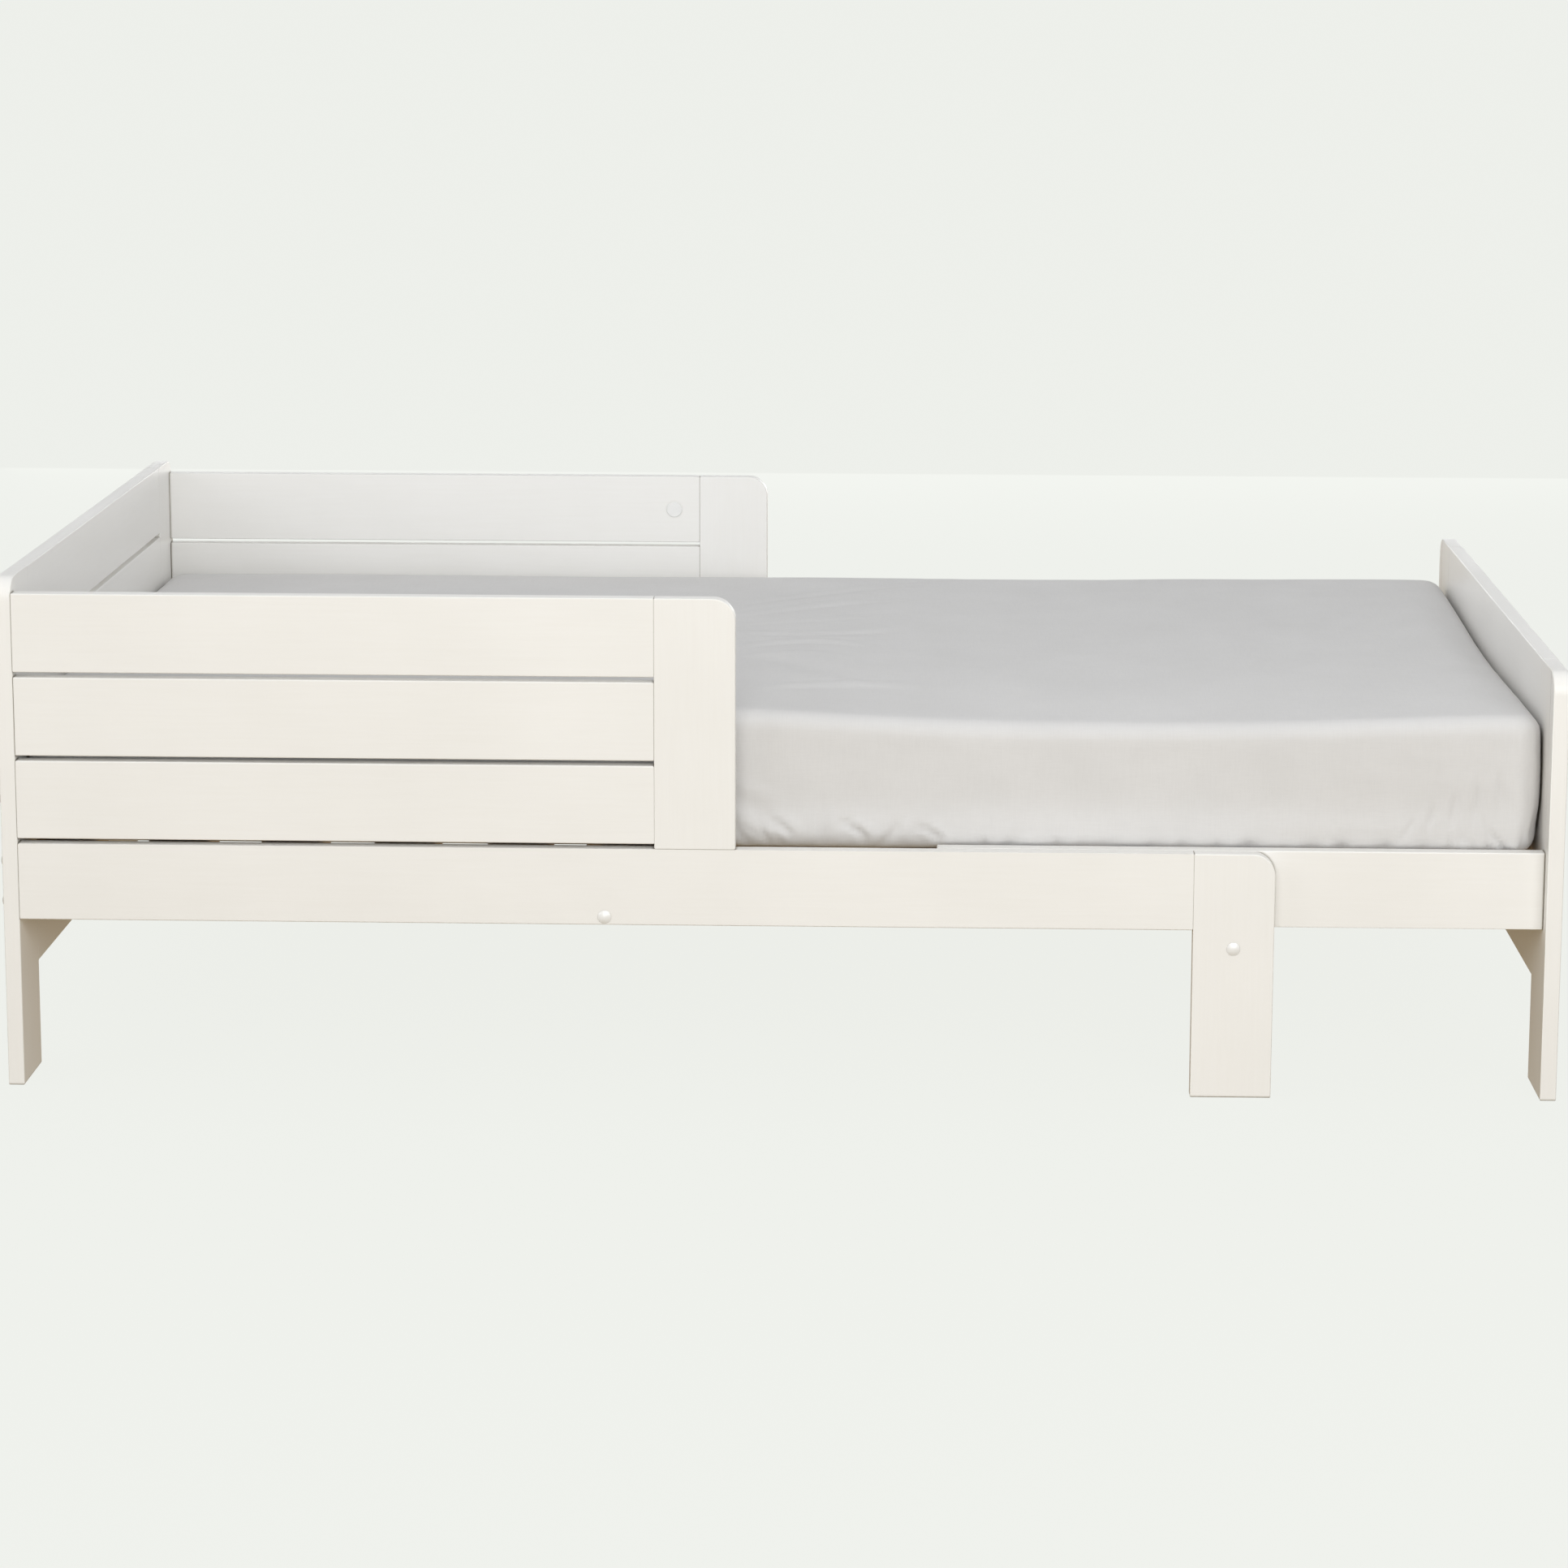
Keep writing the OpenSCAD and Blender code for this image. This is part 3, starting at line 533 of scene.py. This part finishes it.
def stations(steps):
    """Shares of the pad's length, closer together where the folds are: by the guard's end and the foot."""
    place = np.linspace(-sheet_half[0], sheet_half[0], STATION_SAMPLES) + centre_x
    fan = 1.5 * np.exp(-(((place - guard_end - 0.11) / 0.17) ** 2))
    foot = 1.3 * np.exp(-(((place - sheet_high.x + 0.06) / 0.08) ** 2))
    passed = np.cumsum(1 + fan + foot)
    passed = (passed - passed[0]) / (passed[-1] - passed[0])
    return np.interp(np.linspace(0.0, 1.0, steps + 1), passed, np.linspace(0.0, 1.0, len(place)))


def ring_points(half, inset, radius, counts):
    """Points and outward directions round a rectangle with rounded corners, from the front left on.
    half is half its length and width, inset is how far the ring lies inside it, and counts are the steps
    along X, along Y and round each corner."""
    along_x, along_y, round_corner = counts
    flat = np.array(half) - inset - radius
    headwards, across = stations(along_x), np.linspace(0.0, 1.0, along_y + 1)
    corners = [(-1, -1), (1, -1), (1, 1), (-1, 1)]
    shares = [headwards, across, 1 - headwards[::-1], across]
    points, outward = [], []
    for number, share in enumerate(shares):
        turn = math.radians(90.0 * number - 90.0)
        facing = np.array((math.cos(turn), math.sin(turn)))
        start, end = np.array(corners[number]) * flat, np.array(corners[(number + 1) % 4]) * flat
        points.append(start + (end - start) * share[:-1, None] + facing * radius)
        outward.append(np.repeat(facing[None], len(share) - 1, axis=0))
        angle = turn + np.arange(round_corner) / round_corner * math.pi / 2
        facing = np.stack((np.cos(angle), np.sin(angle)), axis=1)
        points.append(end + facing * radius)
        outward.append(facing)
    return np.concatenate(points), np.concatenate(outward)


def wall_rows(low, high, bottom_round, top_round, corner, steps):
    """Rows up a pad's wall from its underside to its top. Each has its inset, its height, the tilt of the
    surface and the radius of its corners in plan."""
    arc_steps, side_steps = steps
    rows = []
    for step in range(arc_steps):
        tilt = -math.pi / 2 + math.pi / 2 * step / arc_steps
        inset = bottom_round * (1 - math.cos(tilt))
        height = low + bottom_round * (1 + math.sin(tilt))
        rows.append((inset, height, tilt, max(corner - inset, SMALLEST_RADIUS)))
    wall_low, wall_high = low + bottom_round, high - top_round
    for step in range(side_steps):
        share = (step / side_steps) ** 1.3
        rows.append((0.0, wall_low + (wall_high - wall_low) * share, 0.0, corner))
    for step in range(arc_steps + 1):
        tilt = math.pi / 2 * step / arc_steps
        inset = top_round * (1 - math.cos(tilt))
        height = high - top_round * (1 - math.sin(tilt))
        rows.append((inset, height, tilt, max(corner - inset, SMALLEST_RADIUS)))
    rows.append((corner, high, math.pi / 2, 0.0))
    return rows


def pad_surface(half, rows, counts, closed_below):
    """A rounded pad's skin: rings up its wall, and a grid at half their density across its top.
    Returns its points, each point's outward direction, and its faces."""
    points, directions, faces = [], [], []
    for inset, height, tilt, radius in rows:
        plan, outward = ring_points(half, inset, radius, counts)
        points.append(np.column_stack((plan, np.full(len(plan), height))))
        facing = outward * math.cos(tilt)
        directions.append(np.column_stack((facing, np.full(len(plan), math.sin(tilt)))))
    ring = len(points[0])
    for row in range(len(rows) - 1):
        for step in range(ring):
            following = (step + 1) % ring
            start, above = row * ring, (row + 1) * ring
            faces.append((start + step, start + following, above + following, above + step))
    lids = [(len(rows) - 1, 1)]
    if closed_below:
        lids.append((0, -1))
    for row, up in lids:
        first = sum(len(part) for part in points)
        lid_points, lid_faces = lid(half, rows[row], counts, row * ring, first, up)
        points.append(lid_points)
        directions.append(np.repeat(np.array([[0.0, 0.0, up]]), len(lid_points), axis=0))
        faces += lid_faces
    points, directions = np.concatenate(points), np.concatenate(directions)
    points[:, 0] += centre_x
    return points, directions, faces


def lid(half, row, counts, ring_start, first, up):
    """The grid across the top (up 1) or the bottom (up -1) of a pad, joined to every second point of the
    ring round it."""
    along_x, along_y, round_corner = counts
    inset, height = row[0], row[1]
    columns, lines = along_x // 2, along_y // 2
    reach = np.array(half) - inset - LID_MARGIN
    xs = reach[0] * (2 * stations(along_x)[::2] - 1)
    ys = np.linspace(-reach[1], reach[1], lines + 1)
    grid = np.array([(x, y, height) for y in ys for x in xs])

    def at(column, line):
        return first + line * (columns + 1) + column

    faces = []
    for line in range(lines):
        for column in range(columns):
            near = (at(column, line), at(column + 1, line))
            far = (at(column + 1, line + 1), at(column, line + 1))
            faces.append(near + far)
    side_steps = [along_x, along_y, along_x]
    corner = [sum(side_steps[:number]) + number * round_corner for number in range(4)]
    borders = [
        [at(column, 0) for column in range(columns + 1)],
        [at(columns, line) for line in range(lines + 1)],
        [at(column, lines) for column in range(columns, -1, -1)],
        [at(0, line) for line in range(lines, -1, -1)],
    ]
    for start, border in zip(corner, borders):
        for step in range(len(border) - 1):
            edge = ring_start + start + 2 * step
            faces.append((edge, edge + 1, edge + 2, border[step + 1], border[step]))
    if up < 0:
        faces = [tuple(reversed(face)) for face in faces]
    return grid, faces


def skin_object(name, points, faces, material):
    """A smooth object of one skin, with its faces turned outwards."""
    mesh = bpy.data.meshes.new(name)
    mesh.from_pydata(points.tolist(), [], faces)
    cleaned = bmesh.new()
    cleaned.from_mesh(mesh)
    bmesh.ops.remove_doubles(cleaned, verts=cleaned.verts, dist=SKIN_WELD)
    bmesh.ops.recalc_face_normals(cleaned, faces=cleaned.faces)
    cleaned.to_mesh(mesh)
    cleaned.free()
    mesh.polygons.foreach_set("use_smooth", [True] * len(mesh.polygons))
    mesh.materials.append(material)
    made = bpy.data.objects.new(name, mesh)
    bpy.context.scene.collection.objects.link(made)
    return made


def rolling(points, size, seed, stretch):
    """Smooth seeded noise from -1 to 1 over points, with hills of about a given size."""
    scaled = points / (np.array(stretch) * size) + np.array((seed * 7.31, seed * 3.17, seed * 5.93))
    return np.array([noise.noise(Vector(point)) for point in scaled])


def smooth_step(value, low, high):
    """0 below low, 1 above high, and an even curve between them."""
    share = np.clip((value - low) / (high - low), 0.0, 1.0)
    return share * share * (3 - 2 * share)


def fold(plane, start, heading, length, height, width, bend=0.0):
    """A fold along a line in a plane of the surface: a ridge with a trough on each side, or a crease with
    a lip on each side where the height is negative. Its heading is in degrees, its middle strays sideways
    by bend, and its ends fade out."""
    direction = np.array((math.cos(math.radians(heading)), math.sin(math.radians(heading))))
    offset = plane - np.array(start)
    ahead = offset @ direction / length
    aside = offset @ np.array((-direction[1], direction[0])) - bend * 4 * ahead * (1 - ahead)
    across = aside / (width * (0.7 + 0.6 * np.clip(ahead, 0.0, 1.0)))
    profile = (1 - 1.2 * across**2) * np.exp(-(across**2))
    fade = smooth_step(ahead, -0.10, 0.15) * (1 - smooth_step(ahead, 0.5, 1.05))
    return height * profile * fade


def hump(value, middle, width):
    """1 at the middle, falling off evenly to both sides."""
    return np.exp(-(((value - middle) / width) ** 2))


def pad_shape(points, directions, low, high):
    """How the stuffed pad differs from a plain block: crowned, slumped at its front and foot edges and
    bulging over the rails. Returns each point's offset."""
    x, y, z = points.T
    on_top = np.clip(directions[:, 2], 0.0, 1.0)
    upper = smooth_step(z, low + 0.4 * (high - low), high)
    span = (points[:, :2] - (centre_x, 0.0)) / np.array(sheet_half)
    offset = np.zeros_like(points)
    offset[:, 2] += CROWN * (1 - span[:, 0] ** 4) * (1 - span[:, 1] ** 2) * on_top

    slumped = smooth_step(x, guard_end - 0.02, guard_end + 0.33) * (1 - smooth_step(x, 0.40, 0.86))
    offset[:, 2] -= (FRONT_DROP + FRONT_SLUMP * slumped) * hump(y, -sheet_half[1], 0.13) * upper
    offset[:, 2] += BACK_LIFT * smooth_step(x, 0.30, 0.75) * hump(y, sheet_half[1], 0.20) * upper
    foot_edge = smooth_step(x, sheet_high.x - 0.060, sheet_high.x - 0.004) * hump(y, -0.05, 0.26)
    offset[:, 2] -= FOOT_DROP * foot_edge * upper

    hollow = fold(points[:, :2], (guard_end + 0.02, -0.15), -50.0, 0.16, GUARD_HOLLOW, 0.040)
    offset[:, 2] -= hollow * on_top

    middle = (low + high) / 2
    over_rail = RAIL_BULGE * hump(z, rail_top + 0.019, 0.017) + SIDE_BULGE * hump(z, middle, 0.05)
    offset[:, 1] += directions[:, 1] * over_rail
    middle_height = np.clip(1 - ((z - middle) / ((high - low) / 2)) ** 2, 0.0, 1.0)
    end_bulge = np.where(directions[:, 0] > 0, FOOT_BULGE, HEAD_BULGE)
    offset[:, 0] += directions[:, 0] * middle_height * end_bulge
    tucked = CORNER_TUCK * hump(z, low + 0.022, 0.022) * smooth_step(np.abs(span[:, 1]), 0.90, 1.0)
    offset[:, 0] -= directions[:, 0] * tucked * smooth_step(span[:, 0], 0.96, 1.0)
    return offset


def build_foam():
    """The mattress under the sheet."""
    low, high = sheet_bottom + CLOTH_THICKNESS, sheet_top - SHEET_CLEARANCE
    half = (sheet_half[0] - SIDE_CLEARANCE, sheet_half[1] - SIDE_CLEARANCE)
    rows = wall_rows(low, high, BOTTOM_ROUNDING, TOP_ROUNDING, CORNER_ROUNDING, FOAM_WALL_STEPS)
    rows.insert(0, (CORNER_ROUNDING, low, -math.pi / 2, 0.0))
    points, directions, faces = pad_surface(half, rows, FOAM_STEPS, True)
    points = points + pad_shape(points, directions, low, high)
    return skin_object("mattress", points, faces, FINISHES["mattress_cover"])


def gathers(points, directions, low):
    """How far the sheet's skirt is drawn in where the elastic of its hem gathers it, and in a few places
    along the front where it is drawn in further."""
    chance = np.random.RandomState(GATHER_SEED)
    height = points[:, 2] - low
    drawn = np.zeros(len(points))
    sideways = np.abs(directions[:, 0]) < np.abs(directions[:, 1])
    for side, count in enumerate((GATHERS_ALONG_SIDE, GATHERS_ALONG_END)):
        for facing in (-1, 1):
            mask = (sideways if side == 0 else ~sideways) & (directions[:, 1 - side] * facing > 0.05)
            place = points[mask, side]
            middle = (centre_x, 0.0)[side]
            for number in range(count):
                share = -1 + 2 * (number + chance.uniform(*STRAY)) / count
                spot = middle + sheet_half[side] * share
                slack = 0.45 + 1.3 * float(smooth_step(abs(share), 0.84, 1.0))
                if side == 0:
                    slack += 0.9 * float(hump(spot, guard_end + 0.04, 0.16))
                    slack += 0.5 * float(hump(spot, 0.58, 0.05))
                depth = slack * chance.uniform(*GATHER_DEPTHS)
                width = chance.uniform(*GATHER_WIDTHS)
                lean = chance.uniform(*GATHER_LEANS)
                reach = chance.uniform(*GATHER_REACHES)
                across = (place - spot - lean * height[mask]) / width
                fade = np.exp(-((height[mask] / reach) ** 2))
                drawn[mask] += depth * (1 - across**2) * np.exp(-(across**2)) * fade
    front = directions[:, 1] < -0.5
    run = sheet_high.x - guard_end - 0.28
    for number in range(POCKETS):
        share = number + chance.uniform(*STRAY)
        spot = guard_end + POCKETS_PAST_GUARD + run * share / POCKETS
        pocket = hump(points[front, 0], spot, chance.uniform(*POCKET_WIDTHS))
        fade = np.exp(-((height[front] / POCKET_REACH) ** 2))
        drawn[front] += chance.uniform(*POCKET_STRENGTHS) * POCKET_DEPTH * pocket * fade
    return drawn


def top_folds(plan):
    """Slack cloth drawn into a fan of folds from the guard's end, and two folds near the front edge."""
    raised = np.zeros(len(plan))
    for number in range(8):
        start = (guard_end - 0.035 + 0.003 * number, 0.212 - 0.0515 * number)
        heading = 38.0 - 1.25 * number**2
        length = 0.37 - 0.03 * number
        height = 0.0034 if number % 2 == 0 else 0.0015
        bend = float(np.interp(number / 2, (0, 1, 2, 3), (0.0, 0.02, -0.045, 0.055)))
        raised += fold(plan, start, heading, length, height, 0.012, bend)
    raised += fold(plan, (guard_end + 0.03, -0.33), 4.0, 0.22, 0.0020, 0.016, 0.02)
    raised += fold(plan, (guard_end + 0.10, -0.269), -44.0, 0.06, 0.0016, 0.010)
    return raised


def front_folds(face):
    """Folds in the sheet's front side: slack by the guard's end with creases above the rail, and puckers
    towards the foot corner."""
    raised = fold(face, (guard_end - 0.01, 0.350), -22.0, 0.07, 0.0018, 0.010)
    raised += fold(face, (guard_end - 0.01, 0.318), -28.0, 0.09, 0.0022, 0.011)
    for number in range(3):
        start = (guard_end + 0.030 + 0.084 * number, sheet_bottom + 0.036 - 0.004 * number)
        raised += fold(face, start, -38.0 + 3.0 * number, 0.042, -0.0034, 0.005, 0.006)
        raised += fold(face, (start[0] + 0.012, start[1]), -34.0, 0.040, 0.0018, 0.007, 0.006)
    for number in range(6):
        start = (sheet_high.x - 0.140 + 0.023 * number, sheet_bottom + 0.042 + 0.013 * number)
        raised += fold(face, start, -116.0 + 9.0 * number, 0.030 + 0.004 * number, -0.0022, 0.0045)
    raised += fold(face, (sheet_high.x - 0.016, 0.402), -68.0, 0.05, 0.0016, 0.005)
    return raised


def build_sheet():
    """The fitted sheet: stretched over the foam, creased by the guard's end and gathered at its hem."""
    low, high = sheet_bottom, sheet_top
    rows = []
    for step in range(HEM_STEPS):
        share = 1 - step / HEM_STEPS
        plan_radius = CORNER_ROUNDING - BOTTOM_ROUNDING + HEM_CORNER_ROUNDING * share
        rows.append((BOTTOM_ROUNDING + HEM_DEPTH * share, low, -math.pi / 2, plan_radius))
    rows += wall_rows(low, high, BOTTOM_ROUNDING, TOP_ROUNDING, CORNER_ROUNDING, SHEET_WALL_STEPS)
    points, directions, faces = pad_surface(sheet_half, rows, SHEET_STEPS, False)
    offset = pad_shape(points, directions, low, high)

    on_top = np.clip(directions[:, 2], 0.0, 1.0)
    beside = np.sqrt(np.clip(1 - directions[:, 2] ** 2, 0.0, 1.0))
    depth = np.zeros(len(points))
    for share, hills in ((on_top, TOP_HILLS), (beside, SIDE_HILLS)):
        for height, size, seed, stretch in hills:
            depth += share * height * rolling(points, size, seed, stretch)
    depth += on_top * top_folds(points[:, :2])
    front = np.clip(-directions[:, 1], 0.0, 1.0)
    depth += front * front_folds(points[:, [0, 2]])
    across_corner = np.abs(np.abs(directions[:, 0]) - np.abs(directions[:, 1]))
    depth += CORNER_SEAM * hump(across_corner, 0.0, 0.12) * beside**2

    above = smooth_step(points[:, 2], low, low + 0.010)
    depth -= gathers(points, directions, low) * above * beside
    points = points + offset + directions * depth[:, None]
    cloth = skin_object("sheet", points, faces, FINISHES["sheet_cotton"])
    thick = cloth.modifiers.new("thickness", "SOLIDIFY")
    thick.thickness = CLOTH_THICKNESS
    thick.offset = -1.0
    return cloth


mattress = build_foam()
sheet = build_sheet()

# Their placement is baked into their meshes.
for piece in (mattress, sheet):
    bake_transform(piece)

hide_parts("mattress_main", "mattress_extension")

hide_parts("fitted_sheet")


# ---------------------------------------------------------------- studio and camera


def build_floor():
    """The floor, which the camera sees and bounced light doesn't."""
    mesh = bpy.data.meshes.new("studio_floor")
    corners = [(x * FLOOR_HALF, y * FLOOR_HALF, 0.0) for x, y in ((-1, -1), (1, -1), (1, 1), (-1, 1))]
    mesh.from_pydata(corners, [], [(0, 1, 2, 3)])
    material, tree, shader = new_material("studio_floor", Roughness=0.9, Specular_IOR_Level=0.0)
    clouds = noise_factor(tree, object_coordinates(tree), 0.4, 1.0)
    darker, lighter = [tuple(shade * part for part in BACKDROP) for shade in FLOOR_SHADES]
    connect(tree, shader, Base_Color=mixed_colour(tree, clouds, darker, lighter))
    shader.inputs["Emission Color"].default_value = (*BACKDROP, 1.0)
    shader.inputs["Emission Strength"].default_value = BACKDROP_GLOW
    mesh.materials.append(material)
    floor = bpy.data.objects.new("studio_floor", mesh)
    floor.visible_diffuse = False
    floor.visible_glossy = False
    bpy.context.scene.collection.objects.link(floor)


def build_sky():
    """Light from low in the sky to overhead, and another colour from below the horizon."""
    world = bpy.data.worlds.new("studio_sky")
    world.use_nodes = True
    tree = world.node_tree
    direction = add_node(tree, "ShaderNodeTexCoord").outputs["Generated"]
    upward = add_node(tree, "ShaderNodeSeparateXYZ", {"Vector": direction}).outputs["Z"]
    sky = mixed_colour(tree, mapped(tree, upward, 0.0, 1.0, 0.0, 1.0), SKY_LOW, SKY_OVERHEAD)
    share = mapped(tree, upward, -HORIZON_BLUR, HORIZON_BLUR, 0.0, 1.0)
    colour = mixed_colour(tree, share, BELOW_HORIZON, sky)
    tree.links.new(colour, tree.nodes["Background"].inputs["Color"])
    bpy.context.scene.world = world


def add_softbox(name, place, size, power):
    """A rectangular lamp that the camera doesn't see."""
    lamp = bpy.data.lights.new(name, "AREA")
    lamp.shape = "RECTANGLE"
    lamp.size, lamp.size_y = size
    lamp.energy = power
    lamp.color = LAMP_COLOUR
    made = bpy.data.objects.new(name, lamp)
    made.location = place
    made.visible_camera = False
    ahead = Vector(LAMP_TARGET) - Vector(place)
    made.rotation_euler = ahead.to_track_quat("-Z", "Y").to_euler()
    bpy.context.scene.collection.objects.link(made)


def build_camera():
    """The camera, turned by its yaw, pitch and roll from looking along Y."""
    lens = bpy.data.cameras.new("camera")
    lens.lens = CAMERA_LENS
    lens.shift_x, lens.shift_y = CAMERA_SHIFT
    lens.clip_end = 4 * FLOOR_HALF
    camera = bpy.data.objects.new("camera", lens)
    turn = Matrix.Rotation(CAMERA_YAW, 4, "Z") @ Matrix.Rotation(math.pi / 2 - CAMERA_PITCH, 4, "X")
    camera.matrix_world = Matrix.Translation(CAMERA_PLACE) @ turn @ Matrix.Rotation(CAMERA_ROLL, 4, "Z")
    bpy.context.scene.collection.objects.link(camera)
    bpy.context.scene.camera = camera


build_floor()
build_sky()
for name, (place, size, power) in LAMPS.items():
    add_softbox(name, place, size, power)
build_camera()
bpy.context.scene.view_settings.view_transform = "Standard"
